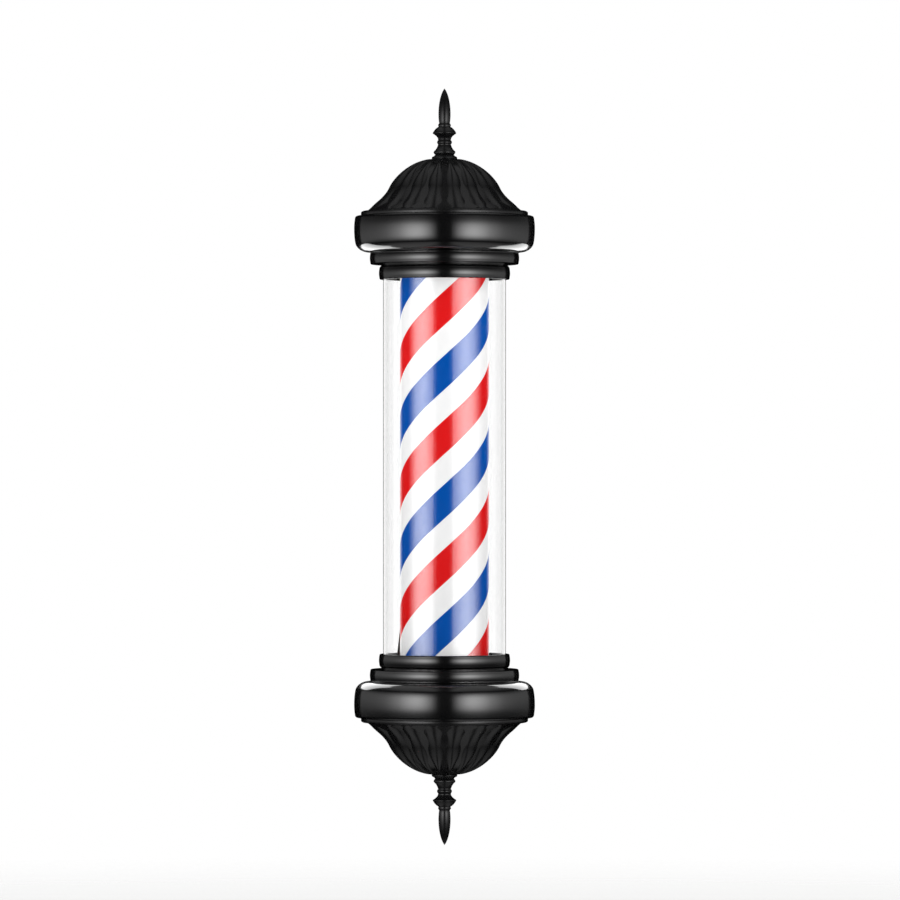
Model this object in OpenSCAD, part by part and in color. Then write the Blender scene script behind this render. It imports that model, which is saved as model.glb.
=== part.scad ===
// Wall-hung barber pole light: two black turned caps, a clear tube between them, and a striped
// drum that a small geared motor in the lower cap turns around a fixed lamp.
// The frame: millimetres, +Z up, the wall plane is y = 0 and the front of the pole faces -Y.
// The origin is the centre of the four wall screws, level with the middle of the pole.

/* [Overall] */
// Distance from the wall to the axis of the pole
axis_to_wall = 150; // [140:1:190]
// Length of clear tube seen between the two collars
sight_h = 381; // [301:2:481]

/* [Cap] */
// Outer diameter of the rim band, the widest part of the pole
band_d = 184; // [180:1:190]
// Height of the rim band
band_h = 36.6; // [34:0.1:40]
// Radius of the band's rolled lower edge
band_round = 13.2; // [10:0.1:14]
// Radius of the band's upper edge
band_edge = 2.5; // [1.5:0.5:3]
// Thickness of the spun sheet of bands and domes
sheet = 2; // [1.5:0.1:2.5]
// Outer diameter of the step ring between band and collar
step_d = 152; // [150:0.5:158]
// Height of the step ring's rim
step_h = 12.6; // [11:0.1:15]
// Outer diameter of the collar that holds the clear tube
collar_d = 133.5; // [132:0.5:138]
// Height of the collar
collar_h = 12.7; // [11:0.1:14]
// Height of the gap between collar and step ring
gap_h = 2.7; // [2:0.1:5]
// Radius of the outer edges of step ring and collar
ring_edge = 1.5; // [0.5:0.1:2]

/* [Dome] */
// Diameter of the dome's vertical lip on the band
dome_d = 170; // [168:1:174]
// Height of the dome from its lip to its flat crown
dome_h = 53.7; // [50:0.1:60]
// Number of petals round the dome
petals = 18; // [12:1:24]
// Depth of the grooves between the petals
petal_depth = 1.8; // [0.5:0.1:2.5]

/* [Tube and drum] */
// Outer diameter of the clear tube
tube_d = 125; // [124:0.5:126]
// Wall of the clear tube
tube_wall = 3; // [2:0.5:4]
// Outer diameter of the white drum
drum_d = 90; // [86:0.5:92]
// Wall of the drum
drum_wall = 2; // [1.5:0.5:3]
// Thickness of the printed stripe film on the drum
film = 0.3; // [0.2:0.1:0.4]

/* [Gears] */
// Module of the motor's gears
gear_module = 0.5; // [0.5:0.05:0.55]
// Teeth of each pinion
pinion_teeth = 15; // [15:2:17]
// Teeth of each wheel
wheel_teeth = 45; // [45:2:47]
// Play taken from the thickness of every tooth
tooth_play = 0.1; // [0.08:0.01:0.14]

/* [Wall bracket] */
// Sideways distance between the two wall screws of a plate
wall_screw_x = 70; // [66:1:74]
// Diameter of the wall screw holes
wall_screw_d = 5.5; // [4:0.5:6]
// Width of the wall plate
plate_w = 96; // [92:1:100]
// Height of the wall plate
plate_h = 56; // [50:1:58]

/* [Hidden] */
$fn = 96;

// Levels of one cap, measured from the middle of the pole.
z_collar = sight_h / 2;
z_gap = z_collar + collar_h;
z_step = z_gap + gap_h;
z_pan = z_step + step_h;
z_plate = z_pan + 2.5;
z_inside = z_plate + 2.5;
z_ledge = z_pan + band_h;
z_lip = z_ledge + 4.2;
z_crown = z_lip + dome_h;

// Radii shared by several pieces.
band_r = band_d / 2;
skirt_r = 72.5;
tube_r = tube_d / 2;
drum_r = drum_d / 2;
dome_r = dome_d / 2;
bore_r = 54;
hub_r = tube_r + 0.1;
screw_ring_r = 58.3;
ledge_r = 80;
web = 2;
touch = 0.05;

// M4 screws, M5 bolts, M6 tie rod, M10 lamp pipe, M15 gland thread: radii.
m4 = 2;
m5 = 2.5;
m6 = 3;
pipe_r = 5;
gland_r = 7.5;

// Dome: the ogee is two cubic curves that meet where the dome turns from bulge to cove.
crown_r = 13;
turn_r = 56;
turn_z = z_lip + 25.2;
petal_root = 16;
petal_tip = 77;
petal_columns = 6;

// Drum: it stands on the turntable and runs up into both caps.
drum_end = z_pan - 6.3;
table_t = 3;
shaft_r = 3.5;

// Motor: the can stands beside the axis, the output shaft is on it.
can_x = 5;
can_r = 30;
cover_t = 1.2;
z_can = z_inside + cover_t;
can_h = 19;
gear_gap = gear_module * (pinion_teeth + wheel_teeth) / 2;
z_mesh_a = z_can + 1.6;
z_mesh_b = z_can + 5.6;
ear_y = 35;

// Wall bracket.
arm_w = 44;
arm_h = 21;
arm_wall = 2;
z_arm = z_pan + 14.5;
saddle_t = 2;
saddle_angle = 28;
saddle_bolt_angle = 22;
plate_t = 3;
ear_d = 22;
z_wall_screw = z_arm + 24;
z_wall_plate = z_wall_screw - 28;
gland_angle = -50;

// Places of the pole and of its upside-down lower cap.
module pole() translate([0, -axis_to_wall, 0]) children();
module foot() pole() mirror([0, 0, 1]) children();

// General shapes.
module ring(r_out, r_in, z0, z1) translate([0, 0, z0]) difference() {
    cylinder(r = r_out, h = z1 - z0);
    translate([0, 0, -1]) cylinder(r = r_in, h = z1 - z0 + 2);
}
module rod(r, z0, z1, sides = 48) translate([0, 0, z0]) cylinder(r = r, h = z1 - z0, $fn = sides);
module hex_nut(across, hole, z0, t) difference() {
    rod(across / 2 / cos(30), z0, z0 + t, 6);
    rod(hole, z0 - 1, z0 + t + 1);
}
// A pan-head screw whose head stands on z = 0 and whose shank goes down, with a cross slot.
module pan_screw(r, length) difference() {
    union() {
        rotate_extrude() polygon([[0, 0], [r * 1.95, 0], [r * 1.95, r * 0.7], [r * 1.5, r * 1.2],
            [0, r * 1.3]]);
        rod(r - touch, -length, 0.5);
    }
    for (a = [0, 90]) rotate([0, 0, a])
        translate([-r * 1.1, -r * 0.18, r * 0.6]) cube([r * 2.2, r * 0.36, r]);
}
// A set screw along +X with a hexagon socket in its outer end.
module set_screw(r, x0, x1) difference() {
    translate([x0, 0, 0]) rotate([0, 90, 0]) cylinder(r = r - touch, h = x1 - x0, $fn = 48);
    translate([x1 - r, 0, 0]) rotate([0, 90, 0]) cylinder(r = r * 0.55, h = r + 1, $fn = 6);
}

// Finial: one turned piece, a spear on a spindle with two beads, tapped for the tie rod.
spear = [[6.0, 350.4], [6.2, 357], [6.2, 361], [5.9, 368], [5.2, 373.5], [3.9, 378.8],
    [2.2, 382.8], [0, 385]];
spindle = [[3.05, 317.2], [9.9, 317.2], [11.2, 319.8], [11.0, 320.9], [8.6, 323.4], [7.3, 326],
    [6.6, 328], [7.6, 329.4], [7.6, 331], [6.5, 332.4], [6.9, 334.4], [8.6, 337], [10.4, 338.8],
    [12.0, 340.1], [11.5, 341.6], [9.0, 344.2], [6.6, 345.6], [6.1, 346.6], [6.6, 347.6],
    [6.3, 348.8], [5.6, 349.4]];
module finial() color("black") translate([0, 0, z_crown - 313])
    rotate_extrude() polygon(concat(spindle, spear, [[0, 336], [3.05, 334]]));
module finial_cup() color("black") difference() {
    rotate_extrude() polygon([[0, z_crown], [12.4, z_crown], [13, z_crown + 0.6],
        [12.7, z_crown + 1.8], [10.6, z_crown + 3.2], [9.8, z_crown + 4.2], [0, z_crown + 4.2]]);
    rod(m6 + 0.2, z_crown - 1, z_crown + 5);
}
module tie_rod() color("silver") rod(m6, z_crown - 56, z_crown + 20.5);
module tie_nuts() color("silver") {
    hex_nut(10, m6 + touch, z_crown - 52, 5);
    hex_nut(10, m6 + touch, z_crown - 45, 5);
}
// Strap: a hoop over the plate that the tie rod pulls the dome and finial against.
strap_y = 50.5;
strap_w = 12;
z_strap = z_crown - 47;
module strap() color("silver") difference() {
    union() {
        translate([-strap_w, -strap_y, z_strap]) cube([2 * strap_w, 2 * strap_y, 2]);
        for (s = [0, 1]) mirror([0, s, 0]) {
            translate([-strap_w, strap_y - 2, z_inside])
                cube([2 * strap_w, 2, z_strap - z_inside + 1]);
            translate([-strap_w / 2, strap_y - 1, z_inside]) cube([strap_w, 14.5, 2]);
        }
    }
    rod(m6 + 0.2, z_strap - 1, z_strap + 3);
    for (s = [-1, 1]) translate([0, s * screw_ring_r, 0]) rod(m4 + 0.2, z_inside - 1, z_inside + 3);
}

// Dome: a thin shell of revolution. Its outer face is let in between petals that are pointed at
// the crown and round at the foot; the inner face is plain.
function bezier(a, b, c, d, t) = a * pow(1 - t, 3) + 3 * b * t * pow(1 - t, 2)
    + 3 * c * t * t * (1 - t) + d * pow(t, 3);
bulge = [for (i = [0:6]) bezier([crown_r, z_crown], [30.5, z_crown], [52, turn_z + 13.5],
    [turn_r, turn_z], i / 6)];
cove = [for (i = [1:6]) bezier([turn_r, turn_z], [58.2, turn_z - 7.4], [72.5, z_lip + 5.2],
    [dome_r, z_lip], i / 6)];
ogee = concat([[m6 + 0.5, z_crown]], bulge, cove, [[dome_r, z_ledge]]);
inner_ogee = concat([[m6 + 0.5, z_crown - sheet]], [[crown_r - 1, z_crown - sheet]],
    [for (i = [1:2:6]) bulge[i] - [sheet * 1.2, sheet * 1.4]],
    [for (i = [0:2:4]) cove[i] - [sheet * 1.7, sheet * 0.9]],
    [[dome_r - 2.4 * sheet, z_ledge]]);
// How far a petal stands up: 1 on its ridge, 0 in the grooves and beyond its two ends.
function petal_rise(r, phase) = let (ridge = sin(180 * phase), along = (r - petal_root)
    / (petal_tip - petal_root)) along <= 0 || along >= 1 ? 0
    : pow(ridge, 0.7) * min(1, 3.4 * along, 7 * (1 - along) * (0.35 + 0.65 * ridge));
function let_in(r, phase) = r <= petal_root || r > dome_r - 0.5 ? 0
    : petal_depth * (1 - petal_rise(r, phase)) * min(1, (r - petal_root) / 6, (dome_r - r) / 3);
module dome() {
    columns = petals * petal_columns;
    outer = [for (p = ogee) [for (c = [0:columns - 1])
        let (phase = (c % petal_columns) / petal_columns, a = 360 * c / columns - 90,
            r = p[0] - let_in(p[0], phase) * 0.55, z = p[1] - let_in(p[0], phase) * 0.8)
        [r * cos(a), r * sin(a), z]]];
    inner = [for (p = [for (i = [len(inner_ogee) - 1:-1:0]) inner_ogee[i]])
        [for (c = [0:columns - 1]) let (a = 360 * c / columns - 90)
        [p[0] * cos(a), p[0] * sin(a), p[1]]]];
    loops = concat(outer, inner);
    rows = len(loops);
    points = [for (loop = loops) each loop];
    faces = [for (i = [0:rows - 1], c = [0:columns - 1], half = [0, 1])
        let (j = (i + 1) % rows, d = (c + 1) % columns)
        half == 0 ? [i * columns + c, i * columns + d, j * columns + d]
                  : [i * columns + c, j * columns + d, j * columns + c]];
    color("black") polyhedron(points, faces, convexity = 6);
}

// Rim band: a spun pan with a rolled lower edge, a ledge for the dome and a floor with a bore.
module band() color("black") difference() {
    rotate_extrude() difference() {
        union() {
            translate([0, z_pan + band_round])
                square([band_r, band_h - band_round - band_edge]);
            translate([0, z_pan]) square([band_r - band_round, band_h]);
            translate([0, z_ledge - band_edge - 1]) square([band_r - band_edge, band_edge + 1]);
            translate([band_r - band_round, z_pan + band_round]) circle(band_round);
            translate([band_r - band_edge, z_ledge - band_edge]) circle(band_edge);
        }
        translate([-1, z_plate]) square([band_r - band_round + 1, band_h - 2.5 - sheet]);
        translate([-1, z_pan + band_round])
            square([band_r - sheet + 1, band_h - band_round - sheet]);
        translate([band_r - band_round, z_pan + band_round]) circle(band_round - sheet);
        translate([-1, z_pan - 1]) square([bore_r + 1, 5]);
        translate([-1, z_ledge - 3]) square([ledge_r + 1, 5]);
    }
    cap_screw_holes(z_pan - 1, z_plate + 1);
    saddle_bolt_holes();
}
module cap_screw_holes(z0, z1, r = m4 + 0.2) for (a = [0:90:270])
    rotate([0, 0, a]) translate([screw_ring_r, 0, 0]) rod(r, z0, z1);
module saddle_bolt_holes() for (s = [-1, 1]) rotate([0, 0, 90 + s * saddle_bolt_angle])
    translate([band_r - 6, 0, z_arm + arm_h / 2]) rotate([0, 90, 0]) cylinder(r = m5 + 0.1, h = 12);

// The outline of a ring's rim, from r_in to r_out and z0 to z1, with round outer edges.
module rim(r_in, r_out, z0, z1) {
    translate([r_in, z0]) square([r_out - r_in - ring_edge, z1 - z0]);
    translate([r_in, z0 + ring_edge]) square([r_out - r_in, z1 - z0 - 2 * ring_edge]);
    for (z = [z0 + ring_edge, z1 - ring_edge]) translate([r_out - ring_edge, z]) circle(ring_edge);
}
// Step ring: a cast ring, pocketed from inside the cap.
module step_ring() color("black") difference() {
    rotate_extrude() difference() {
        rim(bore_r, step_d / 2, z_step, z_pan);
        translate([hub_r, z_step + 3.3]) square([skirt_r - 3 - hub_r, step_h]);
    }
    cap_screw_holes(z_step - 1, z_pan + 1);
}
// Collar: grips the clear tube, with a web above the tube's end and a hub in the step ring.
module collar() color("black") difference() {
    rotate_extrude() {
        rim(tube_r + 0.25, collar_d / 2, z_collar, z_gap);
        translate([bore_r, z_gap - web]) square([10, web]);
        translate([bore_r, z_gap - 1]) square([hub_r - bore_r, z_step - z_gap + 1]);
    }
    cap_screw_holes(z_gap - web - 1, z_step + 1, m4);
    for (a = [30, 150]) rotate([0, 0, a]) translate([tube_r - 2, 0, z_collar + 5])
        rotate([0, 90, 0]) cylinder(r = m4, h = 8, $fn = 48);
}
module gasket() color("dimgray") ring(tube_r, tube_r - 4, z_gap - web - 1, z_gap - web);
module cap_screws() color("silver") for (a = [0:90:270]) rotate([0, 0, a])
    translate([screw_ring_r, 0, a % 180 == 90 ? z_inside + 2 : z_inside]) pan_screw(m4, 22);
module grub_screws() color("black") for (a = [30, 150]) rotate([0, 0, a])
    translate([0, 0, z_collar + 5]) set_screw(m4, tube_r + 0.02, collar_d / 2 - 0.4);

// Plates across the bore of each pan, which carry the lamp and the motor.
module cap_plate(hole, lead) difference() {
    rod(66, z_plate, z_inside, 96);
    rod(hole, z_plate - 1, z_inside + 1);
    cap_screw_holes(z_plate - 1, z_inside + 1);
    translate([lead[0], lead[1], 0]) rod(3.5, z_plate - 1, z_inside + 1);
}

// Wall bracket of one cap: a box arm with a saddle on the band, between two ears on the plate.
module arm() color("black") difference() {
    union() {
        intersection() {
            ring(band_r + saddle_t, band_r + 0.02, z_arm, z_arm + arm_h);
            linear_extrude(z_arm + arm_h + 1) polygon([[0, 0],
                [200 * sin(saddle_angle), 200 * cos(saddle_angle)],
                [-200 * sin(saddle_angle), 200 * cos(saddle_angle)]]);
        }
        difference() {
            translate([-arm_w / 2, band_r - 12, z_arm])
                cube([arm_w, axis_to_wall - plate_t - band_r + 12, arm_h]);
            translate([-arm_w / 2 + arm_wall, 0, z_arm + arm_wall])
                cube([arm_w - 2 * arm_wall, axis_to_wall, arm_h - 2 * arm_wall]);
            rod(band_r + 0.02, z_arm - 1, z_arm + arm_h + 1, 96);
        }
    }
    saddle_bolt_holes();
    ear_bolt_holes();
}
module ear_bolt_holes() translate([-arm_w, axis_to_wall - ear_d / 2 - plate_t, z_arm + arm_h / 2])
    rotate([0, 90, 0]) cylinder(r = m5 + 0.1, h = 2 * arm_w);
module wall_plate() color("black") difference() {
    union() {
        translate([-plate_w / 2, axis_to_wall - plate_t, z_wall_plate])
            cube([plate_w, plate_t, plate_h]);
        for (s = [-1, 1]) translate([s * (arm_w / 2 + 1.3) - 1.25, axis_to_wall - plate_t - ear_d,
            z_arm]) cube([2.5, ear_d + 1, arm_h]);
    }
    ear_bolt_holes();
    for (s = [-1, 1]) translate([s * wall_screw_x / 2, axis_to_wall + 1, z_wall_screw])
        rotate([90, 0, 0]) cylinder(r = wall_screw_d / 2, h = plate_t + 2);
}
// Two bolts through the saddle and the band, and two through the ears and the arm's sides.
module hex_bolt(r, length) {
    rod(2 * r / cos(30) * 0.8, -3.2, 0, 6);
    rod(r, -0.5, length);
}
module arm_bolts() color("silver") {
    for (s = [-1, 1]) rotate([0, 0, 90 + s * saddle_bolt_angle])
        translate([band_r + saddle_t + 0.02, 0, z_arm + arm_h / 2]) rotate([0, -90, 0])
        hex_bolt(m5, 11);
    for (s = [0, 1]) mirror([s, 0, 0])
        translate([arm_w / 2 + 2.55, axis_to_wall - ear_d / 2 - plate_t, z_arm + arm_h / 2])
        rotate([0, -90, 0]) hex_bolt(m5, 11);
}
module arm_nuts() color("silver") {
    for (s = [-1, 1]) rotate([0, 0, 90 + s * saddle_bolt_angle])
        translate([band_r - sheet - 0.15, 0, z_arm + arm_h / 2]) rotate([0, -90, 0])
        hex_nut(8, m5 + touch, 0, 4);
    for (s = [0, 1]) mirror([s, 0, 0])
        translate([arm_w / 2 - arm_wall, axis_to_wall - ear_d / 2 - plate_t, z_arm + arm_h / 2])
        rotate([0, -90, 0]) hex_nut(8, m5 + touch, 0, 4);
}

// Clear tube and drum.
module sleeve() color([0.9, 0.95, 1, 0.3])
    ring(tube_r, tube_r - tube_wall, -(z_gap - web - 1), z_gap - web - 1);
module drum() color("white") ring(drum_r, drum_r - drum_wall, -drum_end, drum_end);
module stripes() color("firebrick") ring(drum_r + film, drum_r + 0.005, -drum_end, drum_end);
module spider() color("white") difference() {
    union() {
        ring(drum_r - drum_wall, drum_r - drum_wall - 2.5, drum_end - 10, drum_end);
        rod(12, drum_end - 8, drum_end);
        for (a = [0:120:240]) rotate([0, 0, a]) translate([10, -3, drum_end - 5])
            cube([drum_r - drum_wall - 12, 6, 4]);
    }
    rod(8, drum_end - 9, drum_end + 1);
}
module bush() color("ivory") difference() {
    union() {
        rod(8, drum_end - 8, drum_end + 0.5);
        rod(11, drum_end, drum_end + 1.5);
    }
    rod(pipe_r + touch, drum_end - 9, drum_end + 2);
}
module table() color("white") difference() {
    union() {
        rod(drum_r + 1, drum_end, drum_end + table_t, 96);
        ring(drum_r - drum_wall, drum_r - drum_wall - 2.5, drum_end - 8, drum_end + 1);
    }
    rod(8 + touch, drum_end - 1, drum_end + table_t + 1);
    for (a = [60:120:300]) rotate([0, 0, a]) translate([25, 0, 0])
        rod(8, drum_end - 1, drum_end + table_t + 1);
}
hub_screw_z = drum_end + table_t + 2.3;
module hub() color("goldenrod") difference() {
    union() {
        rod(8, drum_end - 6, z_plate - 1);
        rod(13, drum_end - 2.5, drum_end);
    }
    rod(shaft_r + 0.02, drum_end - 7, z_plate);
    translate([0, 0, hub_screw_z]) rotate([0, 90, 0]) cylinder(r = 1.5, h = 10, $fn = 48);
}
module hub_set_screw() color("dimgray") translate([0, 0, hub_screw_z])
    set_screw(1.5, shaft_r + 0.05, 7.6);

// Lamp: a threaded pipe in the lamp plate holds a screw lamp-holder with a bulb inside the drum.
z_holder = z_collar - 3;
module pipe() color("silver") ring(pipe_r, 3.5, z_holder - 8, z_inside + 6);
module pipe_nuts() color("silver") {
    hex_nut(14, pipe_r + touch, z_inside, 4);
    hex_nut(14, pipe_r + touch, z_plate - 4, 4);
}
module holder() color("dimgray") rotate_extrude() polygon([[pipe_r + touch, z_holder],
    [12, z_holder], [18, z_holder - 8], [20, z_holder - 18], [20, z_holder - 52],
    [14, z_holder - 52], [14, z_holder - 16], [pipe_r + touch, z_holder - 12]]);
module screw_cap() color("silver") rotate_extrude() polygon(concat(
    [[0, z_holder - 22], [5, z_holder - 22], [12, z_holder - 25]],
    [for (i = [0:5]) each [[13.3, z_holder - 27 - 4 * i], [12.3, z_holder - 29 - 4 * i]]],
    [[12.3, z_holder - 52], [0, z_holder - 52]]));
module bulb_base() color("white") rotate_extrude() polygon([[0, z_holder - 52.1],
    [13, z_holder - 52.1], [15, z_holder - 56], [22, z_holder - 70], [29, z_holder - 84],
    [29.5, z_holder - 88], [0, z_holder - 88]]);
module globe() color("ivory") translate([0, 0, z_holder - 88]) rotate_extrude() difference() {
    intersection() {
        union() {
            translate([0, -9]) circle(29.5);
            translate([0, -9]) square([29.5, 9]);
        }
        translate([0, -60]) square([40, 60]);
    }
    translate([0, -9]) circle(27.5);
    translate([0, -9]) square([27.5, 10]);
}

// Lamp lead: from the holder up the pipe, over the lamp plate, down behind the drum and through
// the motor plate to the terminal block.
lamp_hole = [-38, 32];
motor_hole = [-48, 14];
lead_r = 1.6;
wire_z = -(z_inside + 5);
lead_route = [[0, 0, 186], [0, 0, 212], [0, 0, 234], [-2, 2, 243], [-8, 7, 250], [-19, 16, 254],
    [-30, 25, 250], [-36, 30, 243], [-38, 32, 234], [-38, 32, 222], [-38, 33, 190],
    [-38, 33, 100], [-38, 33, 0], [-38, 33, -90], [-40, 31, -130], [-45, 22, -170],
    [-48, 14, -200], [-48, 14, -216], [-48, 14, wire_z + 8.2], [-47.9, 13.2, wire_z + 3.7],
    [-47.6, 10.4, wire_z + 0.6], [-47.2, 6, wire_z], [-47, 0, wire_z], [-47, -7.5, wire_z]];
function spline(p0, p1, p2, p3, t) = 0.5 * (2 * p1 + (p2 - p0) * t
    + (2 * p0 - 5 * p1 + 4 * p2 - p3) * t * t + (3 * p1 - p0 - 3 * p2 + p3) * t * t * t);
function route_points(p, steps) = concat([for (i = [0:len(p) - 2], s = [0:steps - 1])
    spline(p[max(i - 1, 0)], p[i], p[i + 1], p[min(i + 2, len(p) - 1)], s / steps)],
    [p[len(p) - 1]]);
module swept_lead(route, r, sides = 8) {
    path = route_points(route, 3);
    n = len(path);
    side = [0.6, 0.8, 0];
    rings = [for (i = [0:n - 1])
        let (dir = path[min(i + 1, n - 1)] - path[max(i - 1, 0)], w = dir / norm(dir),
            u0 = side - w * (side * w), u = u0 / norm(u0), v = cross(w, u))
        [for (k = [0:sides - 1]) path[i] + r * (cos(360 * k / sides) * u
            + sin(360 * k / sides) * v)]];
    points = concat([for (loop = rings) each loop]);
    walls = [for (i = [0:n - 2], k = [0:sides - 1], half = [0, 1])
        let (a = i * sides + k, b = i * sides + (k + 1) % sides)
        half == 0 ? [a, b + sides, b] : [a, a + sides, b + sides]];
    ends = [[for (k = [0:sides - 1]) k],
        [for (k = [sides - 1:-1:0]) (n - 1) * sides + k]];
    polyhedron(points, concat(walls, ends), convexity = 8);
}

// Geared motor. A tooth flank is the involute of the base circle; below it the flank is radial.
function roll(a) = tan(a) * 180 / PI - a;
function half_tooth(teeth, r) = let (pitch_r = gear_module * teeth / 2, base_r = pitch_r * cos(20))
    (PI * gear_module / 2 - tooth_play) / 2 / pitch_r * 180 / PI + roll(20)
    - roll(acos(min(1, base_r / r)));
module gear(teeth, z0, t) {
    pitch_r = gear_module * teeth / 2;
    tip_r = pitch_r + 0.9 * gear_module;
    root_r = pitch_r - 1.25 * gear_module;
    radii = [root_r, max(pitch_r * cos(20), root_r + 0.05), pitch_r, tip_r];
    translate([0, 0, z0]) linear_extrude(t) polygon([for (i = [0:teeth - 1])
        each concat([for (k = [0:3]) let (a = 360 * i / teeth - half_tooth(teeth, radii[k]))
                radii[k] * [cos(a), sin(a)]],
            [for (k = [3:-1:0]) let (a = 360 * i / teeth + half_tooth(teeth, radii[k]))
                radii[k] * [cos(a), sin(a)]])]);
}
// The motor's cover holds it to the plate, and a pin in it carries the idler.
module cover() color("silver") difference() {
    union() {
        translate([can_x, 0, 0]) rod(can_r, z_inside, z_can, 96);
        translate([can_x - 6, -ear_y - 5, z_inside]) cube([12, 2 * ear_y + 10, cover_t]);
        translate([gear_gap, 0, 0]) rod(1, z_can - 0.5, z_mesh_b + 3.2);
    }
    rod(shaft_r + touch, z_inside - 1, z_can + 1);
    for (s = [-1, 1]) translate([can_x, s * ear_y, 0]) rod(m4 + 0.2, z_inside - 1, z_can + 1);
}
// A pin in the can's end carries the rotor.
module can() color("silver") difference() {
    union() {
        difference() {
            translate([can_x, 0, 0]) rod(can_r, z_can, z_can + can_h, 96);
            translate([can_x, 0, 0]) rod(can_r - 1, z_can - 1, z_can + can_h - 1, 96);
        }
        rod(1, z_mesh_b - 0.5, z_can + can_h - 0.5);
    }
    translate([can_x - can_r - 1, 0, z_can + 12]) rotate([0, 90, 0])
        cylinder(r = 2, h = 3, $fn = 48);
}
module coil() color("peru") ring(23, 13.2, z_can + 10, z_can + can_h - 1.2);
module rotor_wheel() color("dimgray") difference() {
    union() {
        gear(pinion_teeth, z_mesh_b, 3.5);
        rod(12.4, z_mesh_b + 3.5, z_can + can_h - 1.5, 96);
    }
    rod(1 + touch, z_mesh_b - 1, z_can + can_h);
}
module idler() color("ivory") translate([gear_gap, 0, 0]) difference() {
    union() {
        gear(pinion_teeth, z_mesh_a, 5);
        gear(wheel_teeth, z_mesh_b + 0.4, 2.4);
    }
    rod(1 + touch, z_mesh_a - 1, z_can + 10);
}
module output() color("silver") {
    rod(shaft_r, drum_end - 6, z_mesh_a + 3, 64);
    difference() {
        gear(wheel_teeth, z_mesh_a + 0.3, 2.4);
        rod(shaft_r - 0.5, z_mesh_a, z_mesh_a + 4);
    }
}
module motor_fixings() color("silver") for (s = [-1, 1]) translate([can_x, s * ear_y, 0]) {
    translate([0, 0, z_plate]) mirror([0, 0, 1]) pan_screw(m4, 9);
    hex_nut(7, m4, z_can, 3.2);
}

// Terminal block: three ways, wires in from both long sides, a clamp screw over each.
block = [30, 14, 15];
block_at = [-62, -20, z_inside];
module terminals() color("ivory") difference() {
    translate(block_at) cube(block);
    for (i = [0:2]) translate(block_at + [5 + 10 * i, 0, 0]) {
        translate([0, -1, 5]) rotate([-90, 0, 0]) cylinder(r = 2, h = block[1] + 2, $fn = 48);
        translate([0, block[1] / 2, 7]) rod(2.2, 0, 12);
    }
}
module clamp_screws() color("goldenrod") for (i = [0:2])
    translate(block_at + [5 + 10 * i, block[1] / 2, 0]) difference() {
        rod(2, 7.2, 12.5);
        translate([-3, -0.4, 11.5]) cube([6, 0.8, 2]);
    }

// Cable gland: the inlet for the mains cord, through a boss on the back of the lower band.
z_gland = z_pan + 22.7;
module at_gland() rotate([0, 0, 90 + gland_angle]) translate([0, 0, z_gland])
    rotate([0, 90, 0]) children();
module gland_boss() color("black") at_gland() rod(12.5, band_r - 4, band_r + 0.6, 64);
module gland_bore() at_gland() rod(gland_r + 0.1, band_r - 8, band_r + 3, 64);
module gland() color("black") at_gland() difference() {
    union() {
        rod(gland_r, band_r - 10, band_r + 1, 64);
        rod(22 / 2 / cos(30), band_r + 0.6, band_r + 5.6, 6);
        rod(9.2, band_r + 5.6, band_r + 8, 64);
        translate([0, 0, band_r + 8]) rotate_extrude() polygon([[0, 0], [10.2, 0], [10.2, 6],
            [8.6, 9], [6, 10.2], [0, 10.2]]);
    }
    rod(3.6, band_r - 11, band_r + 19, 64);
}
module locknut() color("black") at_gland() hex_nut(20, gland_r + touch, band_r - 8.2, 4);

// Nodes.
module top_finial() pole() finial();
module top_finial_cup() pole() finial_cup();
module top_tie_rod() pole() tie_rod();
module top_tie_nuts() pole() tie_nuts();
module top_strap() pole() strap();
module top_dome() pole() dome();
module top_band() pole() band();
module top_step_ring() pole() step_ring();
module top_collar() pole() collar();
module top_gasket() pole() gasket();
module top_cap_screws() pole() cap_screws();
module top_grub_screws() pole() grub_screws();
module top_arm() pole() arm();
module top_wall_plate() pole() wall_plate();
module top_arm_bolts() pole() arm_bolts();
module top_arm_nuts() pole() arm_nuts();
module lamp_plate() pole() color("silver") cap_plate(pipe_r + 0.1, lamp_hole);
module bottom_finial() foot() finial();
module bottom_finial_cup() foot() finial_cup();
module bottom_tie_rod() foot() tie_rod();
module bottom_tie_nuts() foot() tie_nuts();
module bottom_strap() foot() strap();
module bottom_dome() foot() dome();
module bottom_band() foot() color("black") difference() {
    union() {
        band();
        gland_boss();
    }
    gland_bore();
}
module bottom_step_ring() foot() step_ring();
module bottom_collar() foot() collar();
module bottom_gasket() foot() gasket();
module bottom_cap_screws() foot() cap_screws();
module bottom_grub_screws() foot() grub_screws();
module bottom_arm() foot() arm();
module bottom_wall_plate() foot() wall_plate();
module bottom_arm_bolts() foot() arm_bolts();
module bottom_arm_nuts() foot() arm_nuts();
module motor_plate() foot() color("silver") difference() {
    cap_plate(12, motor_hole);
    for (s = [-1, 1]) translate([can_x, s * ear_y, 0]) rod(m4 + 0.2, z_plate - 1, z_inside + 1);
}
module clear_tube() pole() sleeve();
module drum_tube() pole() drum();
module stripe_film() pole() stripes();
module drum_spider() pole() spider();
module drum_bush() pole() bush();
module turntable() foot() table();
module drive_hub() foot() hub();
module hub_grub_screw() foot() hub_set_screw();
module lamp_pipe() pole() pipe();
module lamp_nuts() pole() pipe_nuts();
module lamp_holder() pole() holder();
module bulb_screw_cap() pole() screw_cap();
module bulb_body() pole() bulb_base();
module bulb_globe() pole() globe();
module lamp_lead() pole() color("black") swept_lead(lead_route, lead_r);
module motor_cover() foot() cover();
module motor_can() foot() can();
module stator_coil() foot() coil();
module rotor() foot() rotor_wheel();
module idler_gear() foot() idler();
module output_shaft() foot() output();
module motor_screws() foot() motor_fixings();
module terminal_block() foot() terminals();
module terminal_screws() foot() clamp_screws();
module cable_gland() foot() gland();
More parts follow.
